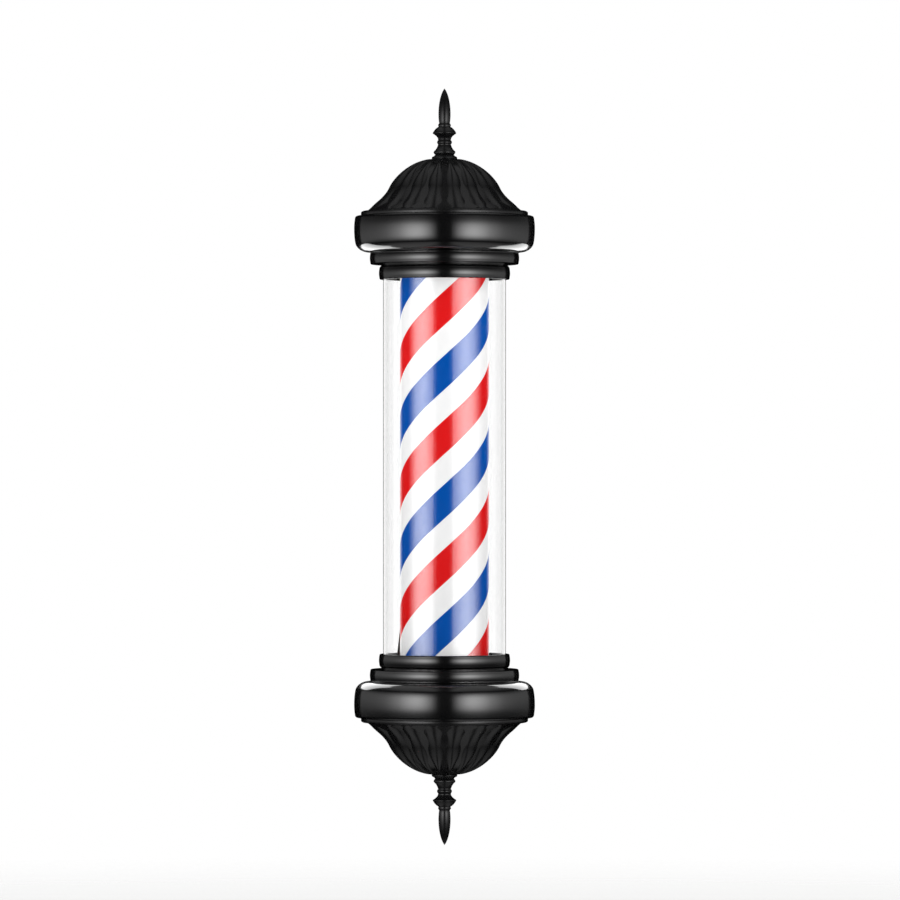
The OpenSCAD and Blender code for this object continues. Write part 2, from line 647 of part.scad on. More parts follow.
module gland_locknut() foot() locknut();
top_finial();
top_finial_cup();
top_tie_rod();
top_tie_nuts();
top_strap();
top_dome();
top_band();
top_step_ring();
top_collar();
top_gasket();
top_cap_screws();
top_grub_screws();
top_arm();
top_wall_plate();
top_arm_bolts();
top_arm_nuts();
lamp_plate();
bottom_finial();
bottom_finial_cup();
bottom_tie_rod();
bottom_tie_nuts();
bottom_strap();
bottom_dome();
bottom_band();
bottom_step_ring();
bottom_collar();
bottom_gasket();
bottom_cap_screws();
bottom_grub_screws();
bottom_arm();
bottom_wall_plate();
bottom_arm_bolts();
bottom_arm_nuts();
motor_plate();
clear_tube();
drum_tube();
stripe_film();
drum_spider();
drum_bush();
turntable();
drive_hub();
hub_grub_screw();
lamp_pipe();
lamp_nuts();
lamp_holder();
bulb_screw_cap();
bulb_body();
bulb_globe();
lamp_lead();
motor_cover();
motor_can();
stator_coil();
rotor();
idler_gear();
output_shaft();
motor_screws();
terminal_block();
terminal_screws();
cable_gland();
gland_locknut();
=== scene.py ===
"""Barber pole light: the looks of a wall-hung pole with two black turned caps, a clear tube and a
turning drum with spiral stripes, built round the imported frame."""
import math

import bpy
import numpy as np
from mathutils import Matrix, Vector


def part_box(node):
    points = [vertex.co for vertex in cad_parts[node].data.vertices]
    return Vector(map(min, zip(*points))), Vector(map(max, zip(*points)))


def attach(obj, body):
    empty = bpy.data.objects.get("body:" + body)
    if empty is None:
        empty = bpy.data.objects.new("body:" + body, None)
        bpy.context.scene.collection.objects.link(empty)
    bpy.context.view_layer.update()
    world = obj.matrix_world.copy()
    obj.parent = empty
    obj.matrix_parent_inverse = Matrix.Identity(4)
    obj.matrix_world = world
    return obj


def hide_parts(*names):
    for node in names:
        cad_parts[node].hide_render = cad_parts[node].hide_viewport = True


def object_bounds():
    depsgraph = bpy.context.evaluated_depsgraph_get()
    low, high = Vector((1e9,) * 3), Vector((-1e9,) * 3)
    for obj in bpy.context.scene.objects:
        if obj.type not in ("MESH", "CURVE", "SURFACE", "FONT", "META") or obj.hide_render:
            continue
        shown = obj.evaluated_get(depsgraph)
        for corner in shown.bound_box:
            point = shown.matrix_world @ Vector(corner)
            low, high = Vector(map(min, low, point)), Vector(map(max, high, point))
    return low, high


bl_info = {
    "name": "Barber Pole Light",
    "version": (1, 0, 0),
    "blender": (4, 5, 0),
    "location": "3D View > Sidebar > Barber Pole",
    "description": "Builds the caps, drum, tube, fittings and stage of a barber pole light",
    "category": "Add Mesh",
}

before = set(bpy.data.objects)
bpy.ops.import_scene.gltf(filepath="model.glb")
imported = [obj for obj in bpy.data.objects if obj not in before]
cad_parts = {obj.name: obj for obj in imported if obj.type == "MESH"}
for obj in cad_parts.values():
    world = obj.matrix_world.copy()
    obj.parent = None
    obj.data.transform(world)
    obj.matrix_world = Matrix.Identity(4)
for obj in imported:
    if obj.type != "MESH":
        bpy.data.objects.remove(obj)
CAD_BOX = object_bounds()
MM = 0.001
CAPS = {"top": 1, "bottom": -1}


def width(node):
    """The width of a node along X, in metres."""
    low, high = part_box(node)
    return high.x - low.x


AXIS_Y = (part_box("top_band")[0].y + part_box("top_band")[1].y) / 2
BAND_R = width("top_band") / 2
STEP_R = width("top_step_ring") / 2
COLLAR_R = width("top_collar") / 2
COLLAR_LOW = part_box("top_collar")[0].z
COLLAR_TOP = COLLAR_LOW + 12.7 * MM
STEP_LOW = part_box("top_step_ring")[0].z
BAND_LOW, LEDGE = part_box("top_band")[0].z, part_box("top_band")[1].z
LIP = LEDGE + 4.2 * MM
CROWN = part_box("top_dome")[1].z
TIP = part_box("top_finial")[1].z
DOME_R = width("top_dome") / 2
TUBE_R = width("clear_tube") / 2
TUBE_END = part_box("clear_tube")[1].z
FILM_R = width("stripe_film") / 2
DRUM_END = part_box("stripe_film")[1].z


# ---------------------------------------------------------------- settings

class PoleSizes(bpy.types.PropertyGroup):
    """Sizes of the pieces that are drawn finer than the frame holds them."""
    petals: bpy.props.IntProperty(
        name="Petals", description="Petals round each dome", default=18, min=8, max=32)
    petal_rise: bpy.props.FloatProperty(
        name="Petal rise", description="How far a petal stands above its grooves",
        default=4.0 * MM, unit="LENGTH")
    columns: bpy.props.IntProperty(
        name="Columns", description="Faces round a turned piece", default=256, min=64, max=512)
    stripe_lead: bpy.props.FloatProperty(
        name="Stripe lead", description="Height that a stripe climbs in one turn of the drum",
        default=260.6 * MM, unit="LENGTH")
    stripe_level: bpy.props.FloatProperty(
        name="Stripe level", description="Height of a red stripe's middle at the front",
        default=30.2 * MM, unit="LENGTH")
    stripe_share: bpy.props.FloatProperty(
        name="Stripe share", description="Share of the pattern that one coloured stripe takes",
        default=0.267, min=0.1, max=0.45)


class PoleColours(bpy.types.PropertyGroup):
    """Colours that a maker of the pole would choose, as sRGB hex values."""
    enamel: bpy.props.StringProperty(
        name="Cap enamel", description="Gloss enamel of the caps", default="#0A0A0B")
    red: bpy.props.StringProperty(
        name="Red ink", description="Red of the stripes", default="#E01517")
    blue: bpy.props.StringProperty(
        name="Blue ink", description="Blue of the stripes", default="#004FA9")
    white: bpy.props.StringProperty(
        name="White film", description="Unprinted film", default="#F8F8F8")
    floor: bpy.props.StringProperty(
        name="Floor", description="Plain studio floor", default="#EDEDEC")


class StageSizes(bpy.types.PropertyGroup):
    """Where the camera and the studio pieces stand."""
    distance: bpy.props.FloatProperty(
        name="Camera distance", description="From the camera to the pole's axis",
        default=6.0, unit="LENGTH")
    view_width: bpy.props.FloatProperty(
        name="View width", description="Width of the view at the pole's axis",
        default=0.916, unit="LENGTH")
    floor_drop: bpy.props.FloatProperty(
        name="Floor drop", description="Gap between the lower finial and the floor",
        default=0.23, unit="LENGTH")
    fill: bpy.props.FloatProperty(
        name="Fill", description="Brightness of the white room", default=1.0, min=0.0)
    softbox: bpy.props.FloatProperty(
        name="Softbox", description="Brightness of the caps' softboxes", default=4.2, min=0.0)
    tube_softbox: bpy.props.FloatProperty(
        name="Tube softbox", description="Brightness of the tube's softboxes", default=5.0, min=0.0)
    dim: bpy.props.FloatProperty(
        name="Dim room", description="Brightness of the room where it's reflected",
        default=0.4, min=0.0)


# ---------------------------------------------------------------- meshes

def grid_faces(rows, columns, wrap_rows=False):
    """Quads of a grid of points whose columns close into rings: (row, column), (row, next),
    (next row, next), (next row, column). With wrap_rows the last row joins the first."""
    i = np.arange(rows if wrap_rows else rows - 1)[:, None]
    j = np.arange(columns)[None, :]
    down, right = (i + 1) % rows, (j + 1) % columns
    corners = [i * columns + j, i * columns + right, down * columns + right, down * columns + j]
    return np.stack(corners, axis=-1).reshape(-1, 4)


def volume(points, quads, triangles):
    """Signed volume that the faces enclose: a sixth of the sum of a . (b x c) over triangles."""
    parts = [triangles, quads[:, [0, 1, 2]], quads[:, [0, 2, 3]]]
    a, b, c = (points[np.concatenate(parts)[:, k]] for k in range(3))
    return float(np.sum(a * np.cross(b, c)) / 6)


def new_mesh(name, points, quads, triangles=None, corner_uv=None):
    """A smooth mesh object from arrays, its faces turned outwards by its signed volume.
    corner_uv gives each quad's four corners a place on the piece's own map."""
    triangles = np.zeros((0, 3), int) if triangles is None else triangles
    if volume(points, quads, triangles) < 0:
        quads, triangles = quads[:, ::-1], triangles[:, ::-1]
        corner_uv = None if corner_uv is None else corner_uv[:, ::-1]
    mesh = bpy.data.meshes.new(name)
    mesh.vertices.add(len(points))
    mesh.vertices.foreach_set("co", points.astype(np.float32).ravel())
    sizes = np.concatenate([np.full(len(quads), 4), np.full(len(triangles), 3)])
    mesh.loops.add(int(sizes.sum()))
    mesh.loops.foreach_set("vertex_index", np.concatenate([quads.ravel(), triangles.ravel()]))
    mesh.polygons.add(len(sizes))
    mesh.polygons.foreach_set("loop_start", np.cumsum(sizes) - sizes)
    mesh.polygons.foreach_set("use_smooth", np.ones(len(sizes), bool))
    if corner_uv is not None:
        layer = mesh.uv_layers.new(name="wrap")
        layer.uv.foreach_set("vector", corner_uv.astype(np.float32).ravel())
    mesh.update(calc_edges=True)
    mesh.validate()
    piece = bpy.data.objects.new(name, mesh)
    bpy.context.scene.collection.objects.link(piece)
    return piece


def place(piece, finish, body, *replaces):
    """Gives a new piece its finish, its body and the frame nodes that it stands for."""
    piece.data.materials.append(bpy.data.materials[finish])
    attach(piece, body)
    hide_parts(*replaces)


def around(radii, heights, turns):
    """Points of a surface of revolution about the pole's axis. An angle of no turns is the front:
    x is r sin a, y is the axis less r cos a, and z is the height."""
    a = 2 * math.pi * turns
    x = radii * np.sin(a)
    y = AXIS_Y - radii * np.cos(a)
    return np.stack(np.broadcast_arrays(x, y, heights), axis=-1).reshape(-1, 3)


def lathe(name, outline, columns):
    """Turned piece: every outline point (radius, height) is carried round the axis. An outline
    that starts and ends on the axis gets a fan of triangles at each pole; any other one is closed
    into a ring."""
    outline = np.asarray(outline, float)
    solid = outline[0, 0] == 0 and outline[-1, 0] == 0
    rings = outline[1:-1] if solid else outline
    turns = np.arange(columns) / columns
    points = around(rings[:, :1], rings[:, 1:], turns[None, :])
    quads = grid_faces(len(rings), columns, wrap_rows=not solid)
    if not solid:
        return new_mesh(name, points, quads)
    poles = around(np.zeros((2, 1)), outline[[0, -1], 1:], np.zeros((1, 1)))
    j = np.arange(columns)
    last = (len(rings) - 1) * columns
    first_fan = np.stack([np.full(columns, len(points)), (j + 1) % columns, j], axis=-1)
    last_fan = np.stack([np.full(columns, len(points) + 1), last + j, last + (j + 1) % columns],
                        axis=-1)
    return new_mesh(name, np.concatenate([points, poles]), quads,
                    np.concatenate([first_fan, last_fan]))


def rounded(corners, steps=5):
    """Outline through corners (radius, height, rounding): each corner becomes an arc of its own
    rounding, tangent to both sides, with one more point close to each end of the arc so that the
    flat sides stay flat when they are shaded."""
    corners = np.asarray(corners, float)
    count = len(corners)
    outline = []
    for i in range(count):
        here, rounding = corners[i, :2], corners[i, 2]
        if rounding == 0:
            outline.append(here)
            continue
        before = corners[i - 1, :2] - here
        after = corners[(i + 1) % count, :2] - here
        before, after = before / np.linalg.norm(before), after / np.linalg.norm(after)
        half = math.acos(np.clip(before @ after, -1, 1)) / 2
        reach = rounding / math.tan(half)
        middle = (before + after) / np.linalg.norm(before + after)
        centre = here + middle * rounding / math.sin(half)
        start, end = here + before * reach - centre, here + after * reach - centre
        sweep = math.pi - 2 * half
        t = np.linspace(0, 1, steps + 1)[:, None]
        arc = (start * np.sin((1 - t) * sweep) + end * np.sin(t * sweep)) / math.sin(sweep)
        outline.append(here + before * reach * 1.25)
        outline.extend(centre + arc)
        outline.append(here + after * reach * 1.25)
    return np.array(outline)


def upright(outline, side):
    """The outline of one cap: as it is for the upper cap, and upside down for the lower one."""
    return np.asarray(outline) * [1, side]


def bezier(a, b, c, d, count):
    """Cubic curve from a to d with the handles b and c, as count + 1 points."""
    t = np.linspace(0, 1, count + 1)[:, None]
    a, b, c, d = (np.array(p, float) for p in (a, b, c, d))
    return a * (1 - t) ** 3 + 3 * b * t * (1 - t) ** 2 + 3 * c * t ** 2 * (1 - t) + d * t ** 3


# ---------------------------------------------------------------- materials

def linear(hex_value, alpha=1.0):
    """An sRGB hex value such as #D5101A as linear red, green, blue and alpha."""
    parts = np.array([int(hex_value[i:i + 2], 16) for i in (1, 3, 5)]) / 255
    low, high = parts / 12.92, ((parts + 0.055) / 1.055) ** 2.4
    return (*np.where(parts <= 0.04045, low, high), alpha)


def add(tree, kind, values=None, links=None):
    """Adds one node. values sets its properties or its sockets, and links joins sockets to what
    feeds them."""
    node = tree.nodes.new(kind)
    for key, value in (values or {}).items():
        if isinstance(key, str) and hasattr(node, key):
            setattr(node, key, value)
        else:
            node.inputs[key].default_value = value
    for key, source in (links or {}).items():
        tree.links.new(source, node.inputs[key])
    return node


def material(name):
    """An empty node material and its tree. A material that the frame already has is emptied, so
    that every node that wears it gets the new finish."""
    made = bpy.data.materials.get(name) or bpy.data.materials.new(name)
    made.use_nodes = True
    made.node_tree.nodes.clear()
    return made, made.node_tree


def grained(name, dark, light, rough, grain, bump, values=None, stretch=(1, 1, 1)):
    """A solid material whose colour runs between two near shades, whose roughness runs between
    two values and whose surface has a bump, all from noise of one real grain size in millimetres.
    stretch draws the grain out along an axis, as brushing or drawing does."""
    made, tree = material(name)
    place_in = add(tree, "ShaderNodeTexCoord")
    scaled = add(tree, "ShaderNodeMapping", {"Scale": stretch}, {0: place_in.outputs["Object"]})
    fine = add(tree, "ShaderNodeTexNoise",
               {"Scale": 1 / (grain * MM), "Detail": 3.0}, {"Vector": scaled.outputs[0]})
    broad = add(tree, "ShaderNodeTexNoise",
                {"Scale": 1 / (14 * grain * MM), "Detail": 2.0}, {"Vector": scaled.outputs[0]})
    shade = add(tree, "ShaderNodeMix", {"data_type": "RGBA"}, {0: broad.outputs[0]})
    shade.inputs[6].default_value = linear(dark)
    shade.inputs[7].default_value = linear(light)
    polish = add(tree, "ShaderNodeMapRange",
                 {"From Min": 0.3, "From Max": 0.7, "To Min": rough[0], "To Max": rough[1]},
                 {"Value": broad.outputs[0]})
    relief = add(tree, "ShaderNodeBump", {"Strength": 1.0, "Distance": bump * MM},
                 {"Height": fine.outputs[0]})
    shader = add(tree, "ShaderNodeBsdfPrincipled", values,
                 {"Base Color": shade.outputs[2], "Roughness": polish.outputs[0],
                  "Normal": relief.outputs[0]})
    add(tree, "ShaderNodeOutputMaterial", links={"Surface": shader.outputs[0]})
    return made


def gloss_black_enamel():
    """Baked gloss enamel on spun and turned rings: a deep wet black with a faint orange peel."""
    colour = bpy.context.scene.pole_colours.enamel
    return grained("gloss_black_enamel", colour, "#0C0C0D", (0.14, 0.2), 3.0, 0.003,
                   {"IOR": 1.6, "Coat Weight": 0.8, "Coat Roughness": 0.08})


def satin_black_powder_coat():
    """Powder coat on cast domes, finials and folded arms: satin black with a fine pebble."""
    return grained("satin_black_powder_coat", "#0C0C0D", "#131314", (0.2, 0.28), 0.8, 0.008)


def zinc_plated_steel():
    """Bright zinc plate on pressed steel: grey metal with a cloudy, slightly blue sheen."""
    return grained("zinc_plated_steel", "#B9BDC2", "#D2D3CF", (0.2, 0.36), 1.2, 0.004,
                   {"Metallic": 1.0})


def black_oxide_steel():
    """Oiled black oxide on a steel set screw."""
    return grained("black_oxide_steel", "#1B1B1C", "#2A2A2B", (0.3, 0.45), 0.5, 0.006,
                   {"Metallic": 0.6})


def gasket_rubber():
    """Cut black sheet rubber: dull, with a fine fabric-like grain."""
    return grained("gasket_rubber", "#141414", "#1E1E1E", (0.7, 0.85), 0.4, 0.02)


def clear_acrylic():
    """Extruded clear acrylic: a water-clear wall that bends the light at its edges, with faint
    draw lines along its length. Lamps shine straight through it."""
    made, tree = material("clear_acrylic")
    place_in = add(tree, "ShaderNodeTexCoord")
    drawn = add(tree, "ShaderNodeMapping", {"Scale": (1, 1, 0.02)}, {0: place_in.outputs["Object"]})
    lines = add(tree, "ShaderNodeTexNoise", {"Scale": 1 / (9 * MM), "Detail": 2.0},
                {"Vector": drawn.outputs[0]})
    relief = add(tree, "ShaderNodeBump", {"Strength": 0.6, "Distance": 0.003 * MM},
                 {"Height": lines.outputs[0]})
    glass = add(tree, "ShaderNodeBsdfPrincipled",
                {"Base Color": (1, 1, 1, 1), "Roughness": 0.0, "IOR": 1.49,
                 "Transmission Weight": 1.0}, {"Normal": relief.outputs[0]})
    clear = add(tree, "ShaderNodeBsdfTransparent", {"Color": linear("#FAFCFC")})
    path = add(tree, "ShaderNodeLightPath")
    both = add(tree, "ShaderNodeMixShader", links={
        0: path.outputs["Is Shadow Ray"], 1: glass.outputs[0], 2: clear.outputs[0]})
    add(tree, "ShaderNodeOutputMaterial", links={"Surface": both.outputs[0]})
    return made


def opal_acrylic():
    """Opal extruded acrylic: milky white, with a lamp's light from inside painted in as a glow."""
    # Painted light: a faint even emission stands in for the lamp shining through the opal wall.
    return grained("opal_acrylic", "#EDEEEE", "#F7F7F5", (0.18, 0.26), 2.0, 0.004,
                   {"Subsurface Weight": 0.3, "Subsurface Radius": (0.004, 0.004, 0.004),
                    "Emission Color": linear("#FFF9EE"), "Emission Strength": 0.25})


def printed_stripe_film():
    """Gloss film printed with red and blue spiral stripes on white, with the lamp's light from
    behind painted in as a glow of its own colours. Around the drum the map's first number is turns
    and its second is turns of the stripe's climb, so twice their difference counts the stripe
    pairs. A red stripe's middle is at a whole number and a blue one's is half way between. The
    painted glow is brighter at the top and fades downwards, as the lamp is in the upper half."""
    sizes, colours = bpy.context.scene.pole_sizes, bpy.context.scene.pole_colours
    made, tree = material("printed_stripe_film")
    wrap = add(tree, "ShaderNodeUVMap", {"uv_map": "wrap"})
    parts = add(tree, "ShaderNodeSeparateXYZ", links={0: wrap.outputs[0]})
    climb = add(tree, "ShaderNodeMath", {"operation": "SUBTRACT"},
                {0: parts.outputs[1], 1: parts.outputs[0]})
    pairs = add(tree, "ShaderNodeMath", {"operation": "MULTIPLY_ADD", 1: 2.0, 2: 0.5},
                {0: climb.outputs[0]})
    part = add(tree, "ShaderNodeMath", {"operation": "FRACT"}, {0: pairs.outputs[0]})
    offset = add(tree, "ShaderNodeMath", {"operation": "SUBTRACT", 1: 0.5}, {0: part.outputs[0]})
    away = add(tree, "ShaderNodeMath", {"operation": "ABSOLUTE"}, {0: offset.outputs[0]})
    # The ink's edge is sharp to about a third of a millimetre.
    edge = 0.33 * MM / (sizes.stripe_lead / 2)
    half = sizes.stripe_share / 2
    in_red = add(tree, "ShaderNodeMapRange",
                 {"From Min": half - edge, "From Max": half + edge, "To Min": 1.0, "To Max": 0.0},
                 {"Value": away.outputs[0]})
    in_blue = add(tree, "ShaderNodeMapRange",
                  {"From Min": 0.5 - half - edge, "From Max": 0.5 - half + edge},
                  {"Value": away.outputs[0]})
    place_in = add(tree, "ShaderNodeTexCoord")
    # Ink lies a little thicker and thinner in clouds about 6 mm across.
    clouds = add(tree, "ShaderNodeTexNoise", {"Scale": 1 / (6 * MM), "Detail": 2.0},
                 {"Vector": place_in.outputs["Object"]})
    with_red = add(tree, "ShaderNodeMix", {"data_type": "RGBA"}, {0: in_red.outputs[0]})
    with_red.inputs[6].default_value = linear(colours.white)
    with_red.inputs[7].default_value = linear(colours.red)
    with_blue = add(tree, "ShaderNodeMix", {"data_type": "RGBA"},
                    {0: in_blue.outputs[0], 6: with_red.outputs[2]})
    with_blue.inputs[7].default_value = linear(colours.blue)
    print_ = add(tree, "ShaderNodeMix", {"data_type": "RGBA", "blend_type": "MULTIPLY"},
                 {0: clouds.outputs[0], 6: with_blue.outputs[2]})
    print_.inputs[7].default_value = (0.93, 0.93, 0.93, 1)
    # Painted light: the lamp's light through the film is painted in as a glow of the print's own
    # colours, brighter towards the top.
    where = add(tree, "ShaderNodeSeparateXYZ", links={0: place_in.outputs["Object"]})
    glow = add(tree, "ShaderNodeMapRange",
               {"From Min": -DRUM_END, "From Max": DRUM_END * 0.7, "To Min": 0.55, "To Max": 1.0},
               {"Value": where.outputs[2]})
    painted_backlight = add(tree, "ShaderNodeMix", {"data_type": "RGBA"},
              {0: glow.outputs[0], 7: print_.outputs[2]})
    painted_backlight.inputs[6].default_value = (0, 0, 0, 1)
    relief = add(tree, "ShaderNodeBump", {"Strength": 0.5, "Distance": 0.01 * MM},
                 {"Height": clouds.outputs[0]})
    shader = add(tree, "ShaderNodeBsdfPrincipled",
                 {"Roughness": 0.12, "Emission Strength": 0.5},
                 {"Base Color": print_.outputs[2], "Emission Color": painted_backlight.outputs[2],
                  "Normal": relief.outputs[0]})
    add(tree, "ShaderNodeOutputMaterial", links={"Surface": shader.outputs[0]})
    return made


def white_nylon():
    """Moulded white nylon: slightly waxy, with a soft satin skin."""
    return grained("white_nylon", "#E6E6E1", "#F1F1ED", (0.35, 0.48), 1.5, 0.01,
                   {"Subsurface Weight": 0.1, "Subsurface Radius": (0.002, 0.002, 0.002)})


def natural_acetal():
    """Cut and moulded acetal: creamy and smooth."""
    return grained("natural_acetal", "#DDD8C6", "#EAE6D6", (0.3, 0.4), 1.0, 0.005)


def turned_brass():
    """Brass turned on a lathe: fine rings drawn round the axis."""
    return grained("turned_brass", "#B98A3E", "#D2A754", (0.18, 0.3), 0.6, 0.006,
                   {"Metallic": 1.0}, (0.05, 0.05, 1))


def black_phenolic():
    """Moulded phenolic lamp holder: brown-black with a low polish."""
    return grained("black_phenolic", "#15110F", "#211C19", (0.2, 0.32), 1.6, 0.008)


def nickel_plate():
    """Nickel-plated thread of the bulb."""
    return grained("nickel_plate", "#BDB8AE", "#CFCBC2", (0.12, 0.22), 1.0, 0.004,
                   {"Metallic": 1.0})


def white_bulb_plastic():
    """White polycarbonate body of the bulb, lightly spark-eroded."""
    return grained("white_bulb_plastic", "#EAEAE8", "#F4F4F2", (0.42, 0.52), 0.5, 0.01)


def opal_bulb_globe():
    """Opal polycarbonate globe with the lamp on behind it."""
    return grained("opal_bulb_globe", "#F5F3EC", "#FBFAF5", (0.3, 0.38), 0.8, 0.004,
                   {"Emission Color": linear("#FFF4DE"), "Emission Strength": 2.2})


def black_lead_sheath():
    """Soft PVC sheath of the lamp lead: black with a fine drawn grain."""
    return grained("black_lead_sheath", "#0D0D0E", "#161617", (0.4, 0.52), 0.7, 0.01,
                   stretch=(1, 1, 0.15))


def motor_steel():
    """Drawn and plated motor can: grey steel with draw marks along its wall."""
    return grained("motor_steel", "#A9ACB0", "#C2C4C4", (0.24, 0.36), 0.9, 0.006,
                   {"Metallic": 1.0}, (1, 1, 0.2))


def copper_winding():
    """Enamelled copper wire wound round the stator: one band for each wire of 0.2 mm, drawn as
    0.6 mm so that it shows. Each band is painted light on its crest and dark in the valley between
    wires: a painted highlight and painted shade."""
    made, tree = material("copper_winding")
    place_in = add(tree, "ShaderNodeTexCoord")
    wires = add(tree, "ShaderNodeTexWave",
                {"bands_direction": "Z", "Scale": 1 / (0.6 * MM) / 20, "Distortion": 0.4},
                {"Vector": place_in.outputs["Object"]})
    # Painted shade and highlight: the colour runs from dark to light with the bands' relief, and is
    # dark between wires.
    shade = add(tree, "ShaderNodeMix", {"data_type": "RGBA"}, {0: wires.outputs["Fac"]})
    shade.inputs[6].default_value = linear("#6E3416")
    shade.inputs[7].default_value = linear("#B8682F")
    relief = add(tree, "ShaderNodeBump", {"Strength": 0.8, "Distance": 0.08 * MM},
                 {"Height": wires.outputs["Fac"]})
    shader = add(tree, "ShaderNodeBsdfPrincipled",
                 {"Metallic": 0.8, "Roughness": 0.32, "Coat Weight": 0.4},
                 {"Base Color": shade.outputs[2], "Normal": relief.outputs[0]})
    add(tree, "ShaderNodeOutputMaterial", links={"Surface": shader.outputs[0]})
    return made


def ferrite_magnet():
    """Sintered ferrite of the rotor: dark grey and slightly rough."""
    return grained("ferrite_magnet", "#2A2A2C", "#3A3A3C", (0.5, 0.62), 0.5, 0.012,
                   {"Metallic": 0.2})


def terminal_polyamide():
    """Moulded polyamide of the terminal block: off-white and dull."""
    return grained("terminal_polyamide", "#DAD8CB", "#E6E4DA", (0.42, 0.55), 0.8, 0.01)


def black_gland_nylon():
    """Moulded black nylon of the cable gland: satin with a fine texture."""
    return grained("black_gland_nylon", "#151516", "#1F1F20", (0.34, 0.46), 0.6, 0.015)


FINISHES = (gloss_black_enamel, satin_black_powder_coat, zinc_plated_steel, black_oxide_steel,
            gasket_rubber, clear_acrylic, opal_acrylic, printed_stripe_film, white_nylon,
            natural_acetal, turned_brass, black_phenolic, nickel_plate, white_bulb_plastic,
            opal_bulb_globe, black_lead_sheath, motor_steel, copper_winding, ferrite_magnet,
            terminal_polyamide, black_gland_nylon)


# ---------------------------------------------------------------- operators

class POLE_OT_finishes(bpy.types.Operator):
    """Makes every finish under its name in the frame, so that the frame's pieces wear it"""
    bl_idname = "pole.finishes"
    bl_label = "Finishes"

    def execute(self, context):
        for maker in FINISHES:
            maker()
        return {"FINISHED"}


def dome_surface(sizes):
    """Radii and heights of a dome's outer face on a grid of (along, around). The ogee is two
    cubic curves, a bulge and a cove, that meet where the dome turns, with one lean. The petals
    keep to the ogee and the grooves lie below it: a petal's height falls away from its middle as
    a power of one less the squared distance, its width opens from a point near the crown and its
    lower end is half round."""
    turn = np.array([56.5 * MM, LIP + 24.5 * MM])
    lean = np.array([0.42, -0.9075])
    bulge = bezier((13 * MM, CROWN), (31 * MM, CROWN), turn - 15 * MM * lean, turn, 70)
    cove = bezier(turn, turn + 11 * MM * lean, (73.5 * MM, LIP + 5.8 * MM),
                  (DOME_R - 1.1 * MM, LIP + 0.3 * MM), 60)
    ogee = np.concatenate([bulge, cove[1:]])
    slope = np.gradient(ogee, axis=0)
    normal = np.stack([-slope[:, 1], slope[:, 0]], axis=-1)
    normal /= np.linalg.norm(normal, axis=1)[:, None]
    faces_to_a_petal = 28
    columns = sizes.petals * faces_to_a_petal
    turns = np.arange(columns) / columns
    across = np.abs(2 * np.mod(turns * sizes.petals, 1) - 1)[None, :]
    r = ogee[:, :1]
    root, tip = 15 * MM, 81 * MM
    along = np.clip((r - root) / (tip - root), 0, 1)
    half_width = 0.94 * np.clip(along / 0.5, 0.02, 1) ** 0.5
    past_round = np.clip((along - 0.8) / 0.2, 0, 1)
    inside = 1 - (across / half_width) ** 2 - past_round ** 2
    petal = np.clip(inside, 0, 1) ** 0.85
    # The grooves deepen outwards from the crown's flat and run out before the lip.
    from_crown = np.clip((r - 14 * MM) / (16 * MM), 0, 1)
    before_lip = np.clip((83 * MM - r) / (8 * MM), 0, 1)
    drop = sizes.petal_rise * (1 - petal) * (from_crown * before_lip) ** 0.7
    radii = ogee[:, :1] - normal[:, :1] * drop
    heights = ogee[:, 1:] - normal[:, 1:] * drop
    return radii, heights, turns


class POLE_OT_domes(bpy.types.Operator):
    """Builds the two fluted domes as thin shells"""
    bl_idname = "pole.domes"
    bl_label = "Domes"

    def execute(self, context):
        radii, heights, turns = dome_surface(context.scene.pole_sizes)
        columns = len(turns)
        hole_r, wall = 3.5 * MM, 2 * MM
        crown = [(hole_r, CROWN - wall), (hole_r, CROWN)]
        edge = bezier((DOME_R - 1.1 * MM, LIP + 0.3 * MM), (DOME_R - 0.4 * MM, LIP),
                      (DOME_R, LIP - 0.5 * MM), (DOME_R, LIP - 1.3 * MM), 6)
        lip = [*edge[1:], (DOME_R, LEDGE + 0.4 * MM), (DOME_R - 0.1 * MM, LEDGE + 0.1 * MM),
               (DOME_R - 0.4 * MM, LEDGE), (DOME_R - 4.8 * MM, LEDGE)]
        # The shell's inner face, from the lip up to the crown.
        inner = [(76 * MM, 262 * MM), (66 * MM, 268 * MM), (52 * MM, 286 * MM),
                 (42 * MM, 299 * MM), (30 * MM, 307 * MM), (12 * MM, CROWN - wall)]
        for cap, side in CAPS.items():
            ends = [np.array(rows)[:, :, None] * np.ones(columns) for rows in (crown, lip + inner)]
            all_radii = np.concatenate([ends[0][:, 0], radii, ends[1][:, 0]])
            all_heights = np.concatenate([ends[0][:, 1], heights, ends[1][:, 1]])
            points = around(all_radii, all_heights * side, turns[None, :])
            quads = grid_faces(len(all_radii), columns, wrap_rows=True)
            piece = new_mesh(f"fluted_dome_{cap}", points, quads)
            place(piece, "satin_black_powder_coat", "housing", f"{cap}_dome")
        return {"FINISHED"}


